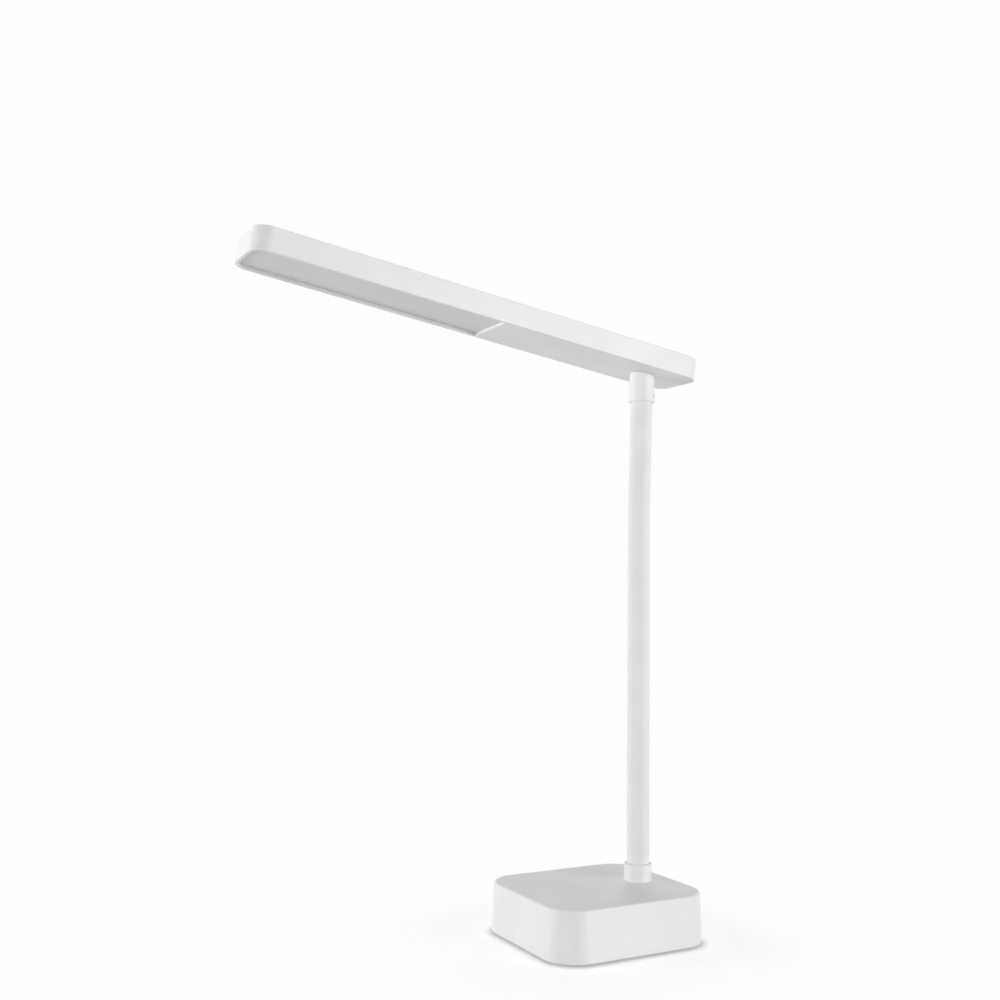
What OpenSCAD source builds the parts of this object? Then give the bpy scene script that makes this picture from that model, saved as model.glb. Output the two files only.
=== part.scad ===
// Folding LED desk lamp. A weighted base with a rechargeable cell carries a stem whose top
// part is a gooseneck, and a long flat light head swivels on the neck's end.
// Millimetres, +Z up. The origin is the centre of the base's footprint, on the desk, and the
// light head reaches forward over -Y. The gooseneck is a chain of short steel links with
// ball-shaped seats inside a silicone sleeve. Odd bends turn fore and aft, about X, and even
// bends turn sideways, about Y, so together they bend the neck any way.

/* [Base] */
// Width of the base's top face
base_w = 80; // [78:1:110]
// Depth of the base's top face
base_d = 90; // [88:1:120]
// Height of the base's top face above the desk
base_h = 26; // [26:0.5:40]
// Plan radius of the base's corners
base_r = 16; // [12:1:22]
// How much wider each side is at the bottom than at the top
base_flare = 1; // [0:0.1:2]
// Radius of the rounded top edge
base_edge = 1.2; // [0.6:0.1:2]
// Thickness of the base's side walls
base_wall = 2.2; // [1.6:0.1:3]
// Thickness of the base's roof
base_roof = 2.6; // [2:0.1:4]
// Shadow gap between the desk and the shell's lower edge
shadow_gap = 1; // [0.6:0.1:2]
// Thickness of the bottom plate
plate_t = 2.4; // [2:0.1:3.4]
// How far the rubber pad's edge lies inside the bottom plate's edge
pad_inset = 3; // [2:0.5:8]

/* [Stem] */
// Distance from the stem's axis to the back edge of the base's top
stem_back = 18; // [17:0.5:24]
// Outer diameter of the silicone sleeve, and so of the whole stem and neck
neck_d = 12; // [10.8:0.2:15]
// Diameter of the steel tube and of the gooseneck links
core_d = 9.2; // [7.8:0.2:9.6]
// Bore that the lamp's lead runs through
lead_bore_d = 5; // [4:0.2:6]
// Height above the desk at which the straight stem ends and the gooseneck starts
straight_top = 218.4; // [120:0.1:300]
// Wall of the collar round the sleeve, where the stem enters the base
foot_collar_wall = 1.2; // [0.9:0.1:3]
// Height of that collar
foot_collar_h = 9; // [7:0.5:20]
// Diameter of the stud that clamps the stem into the base
stud_d = 10; // [8:0.5:11]

/* [Gooseneck] */
// Number of bends in the gooseneck, half of them each way
bends = 12; // [8:2:14]
// Distance from one bend to the next
link_pitch = 5.4; // [4.8:0.1:7]
// How far the ball seats reach out past the sleeve
ball_proud = 0.6; // [0.5:0.1:1.2]
// Running gap between two links' seats
seat_gap = 0.1; // [0.05:0.01:0.3]
// Forward tilt at the lowest bend as the lamp stands, below zero for back
neck_lean = -1.5; // [-8:0.5:8]

/* [Head] */
// Length of the light head
head_l = 255; // [190:1:320]
// Width of the light head
head_w = 37; // [34:0.5:50]
// Thickness of the light head
head_t = 12; // [11.6:0.2:18]
// Plan radius of the head's corners
head_r = 8.5; // [5:0.5:14]
// Radius of the head's back edge
head_edge = 0.6; // [0.2:0.1:1.2]
// Distance from the neck's axis to the near end of the head
head_near = 26; // [20:0.5:40]
// Distance from the neck's axis to the near edge of the light window
window_near = 97; // [50:1:140]
// Width of the rim round the window
rim_w = 1.8; // [1.4:0.1:2.6]
// How deep the diffuser lies inside the rim
window_depth = 1.5; // [0.8:0.1:2]
// Thickness of the diffuser
diffuser_t = 1.6; // [1:0.1:2.4]
// Thickness of the head's back wall
head_back = 1.6; // [1.2:0.1:2.4]
// Wall of the head's collar round the sleeve, at its mouth
head_collar_wall = 1; // [0.8:0.1:3]
// How much narrower that collar is where it meets the head
head_collar_taper = 0.7; // [0:0.1:1]
// Length of the head's collar
head_collar_l = 15.7; // [12:0.1:24]
// Forward tilt of the head's stub on that collar, below zero so that the head tips up
stub_set = -6.5; // [-10:0.5:10]
// How far the head swivels to each side
swivel = 90; // [30:5:120]

/* [Hidden] */
$fn = 64;
fit = 0.1;                          // gap between two rigid pieces that fit together
run = 0.05;                         // radial gap of a pivot or a plain thread
over = 1;                           // how far a cut runs past a face
lap = 0.01;                         // how far joined shapes run into each other

// Base levels, from the desk up
shell_z = shadow_gap;
plate_lift = 0.2;                   // how far the plate lies inside the shell's lower edge
plate_z = shadow_gap + plate_lift;
plate_top = plate_z + plate_t;
pad_t = plate_z + plate_t / 2;
roof_z = base_h - base_roof;
stem_y = base_d / 2 - stem_back;
edge_z = base_h - base_edge;
function flare_at(z) = base_flare * (edge_z - z) / (edge_z - shell_z);
plate_w = base_w + 2 * (flare_at(plate_top) - base_wall - fit);
plate_d = plate_w - base_w + base_d;
plate_r = base_r + flare_at(plate_top) - base_wall - fit;
pad_w = plate_w - 2 * pad_inset;
pad_d = plate_d - 2 * pad_inset;
pad_r = plate_r - pad_inset;

// Screws that close the base, one in each corner
boss_d = 7;
boss_in = 8.8;                      // from the inside of the wall to a screw's axis
boss_x = base_w / 2 - base_wall - boss_in;
boss_y = base_d / 2 - base_wall - boss_in;
cup_h = 3;                          // height of the screw cups on the bottom plate
cup_d = 8.4;
cup_floor = 1.6;
screw_d = 2.6;
screw_head_d = 5.4;
screw_head_h = 1.9;
screw_l = 12;
screw_seat_z = plate_top + cup_h - cup_floor;

// Steel weight in the front of the base
weight_side = 16;                   // from the base's side to the weight
weight_front = 10.5;                // from the base's front to the weight
weight_w = base_w - 2 * weight_side;
weight_d = 26;
weight_h = 12;
weight_r = 3;
weight_y = -base_d / 2 + weight_front + weight_d / 2;
weight_screw_x = weight_w / 2 - 7;
weight_screw_d = 2.9;
weight_screw_head_h = 2;
weight_screw_grip = 0.4;            // plastic left under a weight screw's tip
weight_peg_d = 6;
weight_peg_h = 5;

// Round lithium cell across the middle of the base
cell_d = 18.3;
cell_l = 65.2;
cell_cap_d = 6;
cell_cap_h = 1.2;
cell_crimp_d = 1.4;
cell_crimp_in = 3;                  // from the can's end to the crimped neck
cell_gap = 3;                       // between the weight and the cell
cell_lift = 1.2;                    // how high the cell lies over the bottom plate
cell_y = weight_y + weight_d / 2 + cell_gap + cell_d / 2;
cell_z = plate_top + cell_lift + cell_d / 2;
cradle_x = 20;
cradle_t = 4;

// Main board behind the cell, with the charging inlet at the back wall
board_w = 44;
board_t = 1.2;
board_r = 1;
board_gap = 2;                      // between the cell and the board
board_back_gap = 0.5;               // between the board and the back wall
board_front = cell_y + cell_d / 2 + board_gap;
board_back = base_d / 2 - base_wall - board_back_gap;
board_d = board_back - board_front;
board_y = (board_front + board_back) / 2;
standoff_h = 3;
standoff_d = 5;
standoff_in = 3.5;                  // from the board's edge to a screw's axis
standoff_x = board_w / 2 - standoff_in;
standoff_y = board_d / 2 - standoff_in;
board_z = plate_top + standoff_h;
board_top = board_z + board_t;
board_screw_d = 1.9;
board_screw_head_h = 1.3;
board_screw_tip = 0.2;              // from the plate's top face to a board screw's tip
chip = [6, 6, 1.4];                 // controller
coil = [7, 7, 3];                   // inductor
can = [5, 5];                       // capacitor, diameter and height
plug = [5, 5, 2.5];                 // connector of the lamp's lead
inlet_w = 8.94;
inlet_h = 3.26;
inlet_l = 7.35;
inlet_skin = 0.3;
inlet_back = 1;                     // thickness of the inlet's closed end
tongue = [6.7, 0.7];
tongue_in = 1.4;                    // how much shorter than the shell the tongue is
inlet_z = board_top + inlet_h / 2;
inlet_depth = 1.1;                  // from the back wall's face to the inlet's mouth
inlet_mouth = base_d / 2 + flare_at(inlet_z) - inlet_depth;
inlet_recess_w = 12.6;
inlet_recess_h = 7;

// Touch pad under the roof, in front of the cell
touch_d = 18;
touch_t = 0.2;
wire_d = 0.9;
wire_sides = 8;
wire_ref = [0.3, 0.5, 0.8];         // slants across every stretch of wire
wire_out = 1.8;                     // how far a wire leads past the cell's end
wire_end_in = 4;                    // from the board's side to where a cell wire ends
function unit(v) = v / norm(v);

// Stem fitting, from the nut inside the base up to the sleeve
seat_ring_t = 1.4;
seat_ring_w = 1.5;
base_rib = [1.2, 14.2, 2];          // stiffening ribs under the front of the roof
washer_t = 1.2;
washer_d = 20;
nut_t = 4;
nut_af = 15;
stud_spare = 2;                     // thread left below the nut
stud_end = roof_z - seat_ring_t - washer_t - nut_t - stud_spare;
collar_floor = base_h + 2.5;
fitting_head_t = 3;
tube_z = collar_floor + 1;
sleeve_r = neck_d / 2;
core_r = core_d / 2;
sleeve_in = core_r + fit;
foot_collar_d = neck_d + 2 * (fit + foot_collar_wall);
head_collar_d = neck_d + 2 * (fit + head_collar_wall);
head_collar_top_d = head_collar_d - head_collar_taper;
lead_bore = lead_bore_d / 2;
lead_r = lead_bore - 1;
lead_clear = 2;                     // from the lead's end to the first bend's ball
ball_r = sleeve_r + ball_proud;

// Where each bend sits and how the neck stands above it
function tilt(i) = i < 1 ? 0 : neck_lean;
function up(a) = [0, -sin(a), cos(a)];
function bend_at(i) =
    i == 1 ? [0, stem_y, straight_top + link_pitch / 2]
           : bend_at(i - 1) + link_pitch * up(tilt(i - 1));
turn_pitch = link_pitch / 2;        // pitch of the wound turns on a link
turn_r = 1.2;

// Neck end and the swivel, measured up from the collar's mouth
mouth_z = link_pitch / 2;
sleeve_seat = 1.2;
ferrule_wall = 0.6;
ferrule_d = core_d + 2 * ferrule_wall;
ferrule_l = 9;
web_z = sleeve_seat + ferrule_l + fit;
stub_d = ferrule_d - 0.4;
stub_root = 2;                      // how far the stub runs down inside the collar
cone_top = head_collar_l + 2;       // height to which the collar is turned before it is cut
lip = 0.35;
grub_d = 2.5;
grub_z = 3.4;
grub_turn = 45;                     // from +X towards the back
grub_sunk = 0.4;
hex_depth = 0.8;                    // how far below the outer end the hexagon socket starts

// Inside the head, measured from its underside
cover_t = 1.8;
cover_rib = 1.6;
shelf_z = window_depth + diffuser_t;
shelf_w = 1.2;
roof_t = head_t - head_back;
in_w = head_w - 2 * rim_w;
in_l = head_l - 2 * rim_w;
in_r = head_r - rim_w;
head_mid = head_near - head_l / 2;
cover_l = head_near - rim_w - fit + window_near;
hub_d = 19;
hub_z = 3.2;
stop_washer_t = 1;
stop_r = 12.6;
tab_w = 3;
stop_rib = 1.6;
stop_rib_over = 1;                  // how far the rib reaches past the washer
tab_angle = asin(tab_w / 2 / (stop_r - stop_rib)) + 0.3;
rib_angle = 180 - swivel - tab_angle;   // half the arc that the rib stands on
swivel_nut_t = 2.6;
swivel_nut_d = 15;
stub_spare = 0.8;                   // thread left above the nut
stub_top = hub_z + 2 * run + stop_washer_t + swivel_nut_t + stub_spare;
hook_w = 7;
hook_t = 1.2;
catch_out = 0.7;
hook_x = in_w / 2 - shelf_w - catch_out - fit - hook_t / 2;
hook_top = 8.4;
catch_z = 6;
catch_h = 1;
// Where the snap hooks stand, as distances past the neck's axis
hook_places = [-head_near / 2 - 2, window_near * 0.3, window_near * 0.8];
roof_rib_t = 1.2;
roof_rib_h = 1;
roof_rib_past = 8;                  // from a pair of hooks to the rib across the roof
led_board_in = 4;                   // from the cavity's side to the diode board
led_board_end = 3;                  // from the window's end to the diode board
led_board_w = in_w - 2 * (shelf_w + led_board_in);
led_board_t = 1;
led_board_r = 1;
led_rows = 2;
led_count = 12;
led_size = [3.5, 2.8, 0.8];
led_row_gap = 12;
led_end = 6;                        // from the window's end to the first cell of diodes
window_l = head_l - head_near - window_near - rim_w;
window_mid = -window_near - window_l / 2;
led_pitch = (window_l - 2 * led_end) / led_count;
tray_lift = 3;                      // from the diffuser to the tray
tray_z = shelf_z + tray_lift;
tray_t = 0.5;
tray_end = 1;
tray_hole = 0.4;                    // room round each diode in the tray
head_lead_over = 9;                 // how far the head's lead runs along the diode board

function two(i) = i < 10 ? str("0", i) : str(i);

// ---- shared shapes ----

// Flat rounded rectangle, centred
module rounded_plan(w, d, r) {
    square([w - 2 * r, d], center = true);
    square([w, d - 2 * r], center = true);
    for (x = [-1, 1], y = [-1, 1])
        translate([x * (w / 2 - r), y * (d / 2 - r)]) circle(r = r);
}

// Upright slab with rounded corners
module slab(w, d, r, h) linear_extrude(h) rounded_plan(w, d, r);

// Half section of a block from its middle out to a side at reach, with a rounded top edge.
// The side stands spread further out at the bottom.
module half_section(reach, spread, bottom, top, edge) {
    polygon([[0, bottom], [reach + spread, bottom], [reach, top - edge], [0, top - edge]]);
    translate([0, bottom]) square([reach - edge, top - bottom]);
    translate([reach - edge, top - edge]) circle(r = edge);
}

// Block with rounded corners and a rounded top edge: a turned quarter in each corner, and
// one bar each way between them
module block(w, d, r, spread, bottom, top, edge) {
    for (a = [0, 1], b = [0, 1]) mirror([a, 0, 0]) mirror([0, b, 0])
        translate([w / 2 - r, d / 2 - r, 0])
            rotate_extrude(angle = 90) half_section(r, spread, bottom, top, edge);
    rotate([90, 0, 0]) linear_extrude(d - 2 * r, center = true)
        both_halves() half_section(w / 2, spread, bottom, top, edge);
    rotate([90, 0, 90]) linear_extrude(w - 2 * r, center = true)
        both_halves() half_section(d / 2, spread, bottom, top, edge);
}

module both_halves() for (a = [0, 1]) mirror([a, 0]) children();

// Base form: flared sides and a rounded top edge, made smaller all round by inset
module base_form(bottom, top, inset) {
    in = inset - flare_at(top - base_edge);
    block(base_w - 2 * in, base_d - 2 * in, base_r - in,
          flare_at(bottom) - flare_at(top - base_edge), bottom, top, base_edge);
}

// Copies at the four corners of a rectangle
module corners(x, y)
    for (i = [-1, 1], j = [-1, 1]) translate([i * x, j * y, 0]) children();

// Insulated wire through a list of points, as a tube with flat sides
module wire(points) {
    n = len(points);
    s = wire_sides;
    rings = [for (i = [0 : n - 1])
        let (t = unit(points[min(i + 1, n - 1)] - points[max(i - 1, 0)]),
             u = unit(cross(t, wire_ref)), v = cross(t, u))
        for (k = [0 : s - 1])
            points[i] + wire_d / 2 * (u * cos(360 * k / s) + v * sin(360 * k / s))];
    walls = [for (i = [0 : n - 2], k = [0 : s - 1])
        let (a = i * s + k, b = i * s + (k + 1) % s) [a, a + s, b + s, b]];
    polyhedron(rings, concat([[for (k = [0 : s - 1]) k]], walls,
                             [[for (k = [s - 1 : -1 : 0]) (n - 1) * s + k]]));
}

// Flat-sided round slot standing along Y
module stadium(w, h, l) rotate([90, 0, 0]) linear_extrude(l, center = true) {
    square([w - h, h], center = true);
    for (x = [-1, 1]) translate([x * (w - h) / 2, 0]) circle(d = h);
}

// The frame of the piece above bend i, whose origin is the bend's centre
module above_bend(i) translate(bend_at(i)) rotate([tilt(i), 0, 0]) children();

// The frame of the collar's mouth, and the frame of the head's underside
module at_mouth() above_bend(bends) translate([0, 0, mouth_z]) children();
module at_head() at_mouth() at_stub() children();

// The stub's frame, measured from the collar's mouth
module at_stub() translate([0, 0, head_collar_l]) rotate([stub_set, 0, 0]) children();

// Strip of a wall seen in section, with the ball seat of the bend above it cut away
module socket_strip(r_in, r_out, bottom, bend) difference() {
    translate([r_in, bottom]) square([r_out - r_in, bend - bottom]);
    translate([0, bend]) circle(r = ball_r + seat_gap);
}

// Section of everything above a ball-shaped lower end
module ball_strip(r_in, r_out, top) intersection() {
    translate([r_in, -ball_r]) square([r_out - r_in, ball_r + top]);
    union() {
        circle(r = ball_r);
        square([sleeve_r + fit, top + over]);
    }
}

// Ring between two bends
module link_ring(r_in, r_out) rotate_extrude() difference() {
    ball_strip(r_in, r_out, link_pitch);
    translate([0, link_pitch]) circle(r = ball_r + seat_gap);
}

// ---- base ----

module base_shell() color("white") difference() {
    union() {
        difference() {
            base_form(shell_z, base_h, 0);
            base_form(shell_z - over, roof_z, base_wall);
        }
        translate([0, 0, plate_top + cup_h])
            corners(boss_x, boss_y) cylinder(d = boss_d, h = roof_z - plate_top - cup_h + over);
        translate([0, stem_y, roof_z - seat_ring_t])
            cylinder(d = washer_d + 2 * seat_ring_w, h = seat_ring_t + over);
        for (x = [-1, 1])
            translate([x * base_w / 4 - base_rib[0] / 2, -base_d / 2 + base_wall,
                       roof_z - base_rib[2]])
                cube(base_rib + [0, 0, over]);
    }
    translate([0, 0, plate_top + cup_h - over])
        corners(boss_x, boss_y) cylinder(d = screw_d + 2 * run, h = screw_l + over);
    translate([0, stem_y, roof_z - seat_ring_t - over])
        cylinder(d = stud_d + 2 * fit, h = base_roof + seat_ring_t + 2 * over);
    translate([0, base_d / 2, inlet_z])
        stadium(inlet_w + 2 * fit, inlet_h + 2 * fit, 4 * base_wall);
    translate([0, inlet_mouth + fit + base_wall, inlet_z])
        stadium(inlet_recess_w, inlet_recess_h, 2 * base_wall);
}

module base_plate() color("white") difference() {
    union() {
        translate([0, 0, plate_z]) slab(plate_w, plate_d, plate_r, plate_t);
        translate([0, 0, plate_top - lap])
            corners(boss_x, boss_y) cylinder(d = cup_d, h = cup_h + lap);
        for (x = [-1, 1]) {
            translate([x * weight_screw_x, weight_y, plate_top - lap])
                cylinder(d = weight_peg_d, h = weight_peg_h + lap);
            translate([x * cradle_x - cradle_t / 2, cell_y - cell_d / 2, plate_top - lap])
                cube([cradle_t, cell_d, cell_d / 3]);
        }
        translate([0, board_y, plate_top - lap])
            corners(standoff_x, standoff_y) cylinder(d = standoff_d, h = standoff_h + lap);
    }
    translate([0, 0, plate_z - over]) slab(pad_w + 2 * fit, pad_d + 2 * fit, pad_r + fit,
                                           plate_t / 2 + over);
    corners(boss_x, boss_y) {
        translate([0, 0, plate_z - over])
            cylinder(d = screw_head_d + 4 * fit, h = screw_seat_z - plate_z + over);
        cylinder(d = screw_d + 4 * fit, h = base_h / 2);
    }
    for (x = [-1, 1])
        translate([x * weight_screw_x, weight_y, plate_z + plate_t / 2 + weight_screw_grip])
            cylinder(d = weight_screw_d + 2 * run, h = weight_h);
    translate([0, cell_y, cell_z]) rotate([0, 90, 0])
        cylinder(d = cell_d + 2 * fit, h = base_w, center = true);
    translate([0, board_y, plate_top])
        corners(standoff_x, standoff_y) cylinder(d = board_screw_d + 2 * run, h = standoff_h + over);
}

module foot_pad() color("dimgray") slab(pad_w, pad_d, pad_r, pad_t);

module base_screws() color("silver") corners(boss_x, boss_y) {
    translate([0, 0, screw_seat_z - screw_head_h]) cylinder(d = screw_head_d, h = screw_head_h);
    translate([0, 0, screw_seat_z - lap]) cylinder(d = screw_d, h = screw_l - screw_head_h);
}

module counterweight() color("slategray") translate([0, weight_y, plate_top]) difference() {
    slab(weight_w, weight_d, weight_r, weight_h);
    for (x = [-1, 1]) translate([x * weight_screw_x, 0, -over]) {
        cylinder(d = weight_peg_d + 4 * fit, h = weight_peg_h + fit + over);
        cylinder(d = weight_screw_d + 4 * fit, h = weight_h + 2 * over);
    }
}

module weight_screws() color("silver") for (x = [-1, 1])
    translate([x * weight_screw_x, weight_y, plate_top + weight_h]) {
        cylinder(d = 2 * weight_screw_d, h = weight_screw_head_h);
        translate([0, 0, -weight_h]) cylinder(d = weight_screw_d, h = weight_h + lap);
    }

// Steel can with a crimped neck at the positive end
module battery_cell() color("mediumseagreen") translate([-cell_l / 2, cell_y, cell_z])
    rotate([0, 90, 0]) rotate_extrude() difference() {
        union() {
            square([cell_d / 2, cell_l - cell_cap_h]);
            square([cell_cap_d / 2, cell_l]);
        }
        translate([cell_d / 2, cell_l - cell_cap_h - cell_crimp_in]) circle(d = cell_crimp_d);
    }

module main_board() color("darkgreen") translate([0, board_y, board_z]) difference() {
    slab(board_w, board_d, board_r, board_t);
    corners(standoff_x, standoff_y)
        translate([0, 0, -over]) cylinder(d = board_screw_d + 4 * fit, h = board_t + 2 * over);
}

// Controller, inductor, capacitor and the connector of the lamp's lead
module board_parts() color("black") translate([0, board_y, board_top]) {
    translate([-board_w / 4 - chip[0] / 2, -chip[1] / 2 + 1, 0]) cube(chip);
    translate([board_w / 5, -coil[1] / 2, 0]) slab(coil[0], coil[1], coil[0] / 5, coil[2]);
    translate([board_w / 3, board_d / 4, 0]) cylinder(d = can[0], h = can[1]);
    translate([-plug[0] / 2, stem_y - board_y - plug[1] / 2, 0]) cube(plug);
}

module board_screws() color("silver") translate([0, board_y, 0])
    corners(standoff_x, standoff_y) {
        translate([0, 0, board_top]) cylinder(d = 2 * board_screw_d, h = board_screw_head_h);
        translate([0, 0, plate_top + board_screw_tip])
            cylinder(d = board_screw_d, h = board_top - plate_top);
    }

// Charging inlet: a pressed steel shell with its contact tongue
module usb_inlet() color("silver") translate([0, inlet_mouth - inlet_l / 2, inlet_z]) {
    difference() {
        stadium(inlet_w, inlet_h, inlet_l);
        translate([0, inlet_back, 0])
            stadium(inlet_w - 2 * inlet_skin, inlet_h - 2 * inlet_skin, inlet_l);
    }
    translate([0, (inlet_back - tongue_in) / 2 - lap, 0])
        cube([tongue[0], inlet_l - inlet_back - tongue_in + 2 * lap, tongue[1]], center = true);
}

module touch_pad() color("peru") translate([0, weight_y, roof_z - touch_t])
    cylinder(d = touch_d, h = touch_t);

// Two leads from the cell and one from the touch pad, all to the board
module base_wires() color("firebrick") {
    edge_x = cell_l / 2 + wire_out;
    end_z = board_top + wire_d / 2;
    under_z = roof_z - 2 * wire_d;
    for (x = [-1, 1])
        wire([[x * (cell_l / 2 + fit), cell_y, cell_z], [x * edge_x, cell_y, cell_z],
              [x * edge_x, board_y - wire_out, end_z + cup_h],
              [x * (board_w / 2 - wire_end_in), board_y, end_z]]);
    wire([[touch_d / 2 - wire_d, weight_y, roof_z - touch_t - wire_d / 2],
          [edge_x - cell_d / 3, weight_y + cell_d / 3, under_z],
          [edge_x, cell_y - cell_d / 3, under_z],
          [edge_x, cell_y + cell_d / 2 - wire_d, under_z],
          [board_w / 4, board_front + wire_end_in, end_z]]);
}

// ---- stem ----

module base_collar() color("white") translate([0, stem_y, base_h]) rotate_extrude()
    difference() {
        polygon([[0, 0], [foot_collar_d / 2, 0],
                 [foot_collar_d / 2, foot_collar_h - lip],
                 [foot_collar_d / 2 - lip, foot_collar_h], [0, foot_collar_h]]);
        translate([0, -over]) square([stud_d / 2 + fit, foot_collar_h + 2 * over]);
        translate([0, collar_floor - base_h]) square([sleeve_r + fit, foot_collar_h]);
    }

// Turned fitting: the stud below, the socket for the tube above
module stem_fitting() color("goldenrod") translate([0, stem_y, 0]) rotate_extrude()
    difference() {
        union() {
            translate([0, stud_end]) square([stud_d / 2, collar_floor - stud_end + over]);
            translate([0, collar_floor]) square([sleeve_r, fitting_head_t]);
        }
        translate([0, stud_end - over]) square([lead_bore, base_h]);
        translate([0, tube_z]) square([core_r + run, base_h]);
    }

module clamp_washer() color("silver")
    translate([0, stem_y, roof_z - seat_ring_t - washer_t]) difference() {
        cylinder(d = washer_d, h = washer_t);
        translate([0, 0, -over]) cylinder(d = stud_d + 2 * fit, h = washer_t + 2 * over);
    }

module clamp_nut() color("silver")
    translate([0, stem_y, roof_z - seat_ring_t - washer_t - nut_t]) difference() {
        cylinder(d = nut_af / cos(30), h = nut_t, $fn = 6);
        translate([0, 0, -over]) cylinder(d = stud_d + 2 * run, h = nut_t + 2 * over);
    }

module stem_tube() color("silver") translate([0, stem_y, 0]) rotate_extrude()
    socket_strip(lead_bore, core_r, tube_z, bend_at(1)[2]);

module stem_sleeve() color("whitesmoke") translate([0, stem_y, 0]) rotate_extrude()
    socket_strip(sleeve_in, sleeve_r, collar_floor + fitting_head_t, bend_at(1)[2]);

// Jacketed two-core lead from the board up the straight stem
module lamp_lead() color("dimgray") translate([0, stem_y, board_top + plug[2]])
    cylinder(r = lead_r, h = bend_at(1)[2] - ball_r - lead_clear - board_top - plug[2]);

// ---- gooseneck ----

// One steel link: two wound turns outside, ball below, socket above
module neck_link(i) color("silver") above_bend(i) rotate_extrude() intersection() {
    difference() {
        ball_strip(lead_bore, core_r, link_pitch);
        translate([0, link_pitch]) circle(r = ball_r + seat_gap);
    }
    union() {
        translate([0, -ball_r]) square([core_r - turn_r, 2 * ball_r]);
        for (k = [-ceil(ball_r / turn_pitch) : 1])
            translate([core_r - turn_r, (k + 0.5) * turn_pitch]) circle(r = turn_r);
    }
}

module neck_sleeve(i) color("whitesmoke") above_bend(i) link_ring(sleeve_in, sleeve_r);

// Last stretch of sleeve, tucked into the collar
module neck_sleeve_end() color("whitesmoke") above_bend(bends) rotate_extrude()
    ball_strip(sleeve_in, sleeve_r, mouth_z + sleeve_seat - 2 * fit);

// Ferrule crimped on the gooseneck's end, held in the collar by the grub screw
module neck_ferrule() color("silver") above_bend(bends) rotate_extrude() {
    ball_strip(lead_bore, core_r, mouth_z + sleeve_seat);
    translate([lead_bore, mouth_z + sleeve_seat - lap])
        square([ferrule_d / 2 - lead_bore, ferrule_l + lap]);
}

// Collar on the gooseneck's end, with its top cut square to the stub that stands on it
module head_collar() color("white") at_mouth() difference() {
    union() {
        difference() {
            rotate_extrude() polygon([[0, 0], [head_collar_d / 2 - lip, 0], [head_collar_d / 2, lip],
                                      [head_collar_top_d / 2, cone_top], [0, cone_top]]);
            at_stub() translate([0, 0, -fit]) cylinder(d = 2 * head_collar_d, h = head_collar_d);
        }
        at_stub() translate([0, 0, -stub_root]) cylinder(d = stub_d, h = stub_root + stub_top);
    }
    at_stub() translate([0, 0, web_z - head_collar_l - over])
        cylinder(r = lead_bore, h = 2 * head_collar_l);
    translate([0, 0, -over]) cylinder(d = ferrule_d + 2 * run, h = web_z + over);
    translate([0, 0, -over]) cylinder(r = sleeve_r + fit, h = sleeve_seat + over);
    rotate([0, 0, grub_turn]) translate([0, 0, grub_z]) rotate([0, 90, 0])
        cylinder(d = grub_d + 2 * run, h = head_collar_d);
}

module grub_screw() color("dimgray") at_mouth()
    rotate([0, 0, grub_turn]) translate([ferrule_d / 2 + run, 0, grub_z]) rotate([0, 90, 0])
        difference() {
            cylinder(d = grub_d, h = (head_collar_d - ferrule_d) / 2 - grub_sunk);
            translate([0, 0, hex_depth]) cylinder(d = grub_d / 2, h = head_collar_d, $fn = 6);
        }

// Washer keyed to the stub, whose tab meets the ends of the cover's stop rib
module stop_washer() color("silver") at_head() translate([0, 0, hub_z + run]) difference() {
    union() {
        cylinder(d = hub_d - 2, h = stop_washer_t);
        translate([-tab_w / 2, -stop_r, 0]) cube([tab_w, stop_r, stop_washer_t]);
    }
    translate([0, 0, -over]) cylinder(d = stub_d + 2 * run, h = stop_washer_t + 2 * over);
}

module swivel_nut() color("silver") at_head()
    translate([0, 0, hub_z + 2 * run + stop_washer_t]) difference() {
        cylinder(d = swivel_nut_d, h = swivel_nut_t, $fn = 6);
        translate([0, 0, -over]) cylinder(d = stub_d + 2 * run, h = swivel_nut_t + 2 * over);
    }

// ---- head ----

module head_housing() color("white") at_head() translate([0, head_mid, 0]) difference() {
    union() {
        difference() {
            block(head_w, head_l, head_r, 0, 0, head_t, head_edge);
            translate([0, 0, -over]) slab(in_w, in_l, in_r, shelf_z + over);
            slab(in_w - 2 * shelf_w, in_l - 2 * shelf_w, in_r - shelf_w, roof_t);
        }
        for (y = hook_places, x = [-1, 1]) translate([x * (in_w / 2 - shelf_w), -y - head_mid, 0])
            translate([x > 0 ? -catch_out : 0, -hook_w / 2, catch_z])
                cube([catch_out, hook_w, catch_h]);
        for (y = hook_places)
            translate([-in_w / 2, -y - roof_rib_past - head_mid, roof_t - roof_rib_h])
                cube([in_w, roof_rib_t, roof_rib_h + lap]);
    }
}

module head_cover() color("white") at_head() difference() {
    near_y = head_near - rim_w - fit;
    union() {
        difference() {
            intersection() {
                translate([0, head_mid, 0]) slab(in_w - 2 * fit, in_l - 2 * fit, in_r - fit, shelf_z);
                translate([-head_w, near_y - cover_l, 0]) cube([2 * head_w, cover_l, shelf_z]);
            }
            translate([-in_w / 2 + cover_rib, near_y - cover_l + cover_rib, cover_t])
                cube([in_w - 2 * cover_rib, cover_l - cover_rib - in_r, shelf_z]);
        }
        cylinder(d = hub_d, h = hub_z);
        rotate([0, 0, 90 - rib_angle]) rotate_extrude(angle = 2 * rib_angle)
            translate([stop_r - stop_rib, cover_t / 2])
                square([stop_rib, hub_z + stop_washer_t + stop_rib_over - cover_t / 2]);
        for (y = hook_places, x = [-1, 1]) translate([x * hook_x, -y, 0]) snap_hook(x);
    }
    translate([0, 0, -over]) cylinder(d = stub_d + 2 * run, h = head_t);
}

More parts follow.
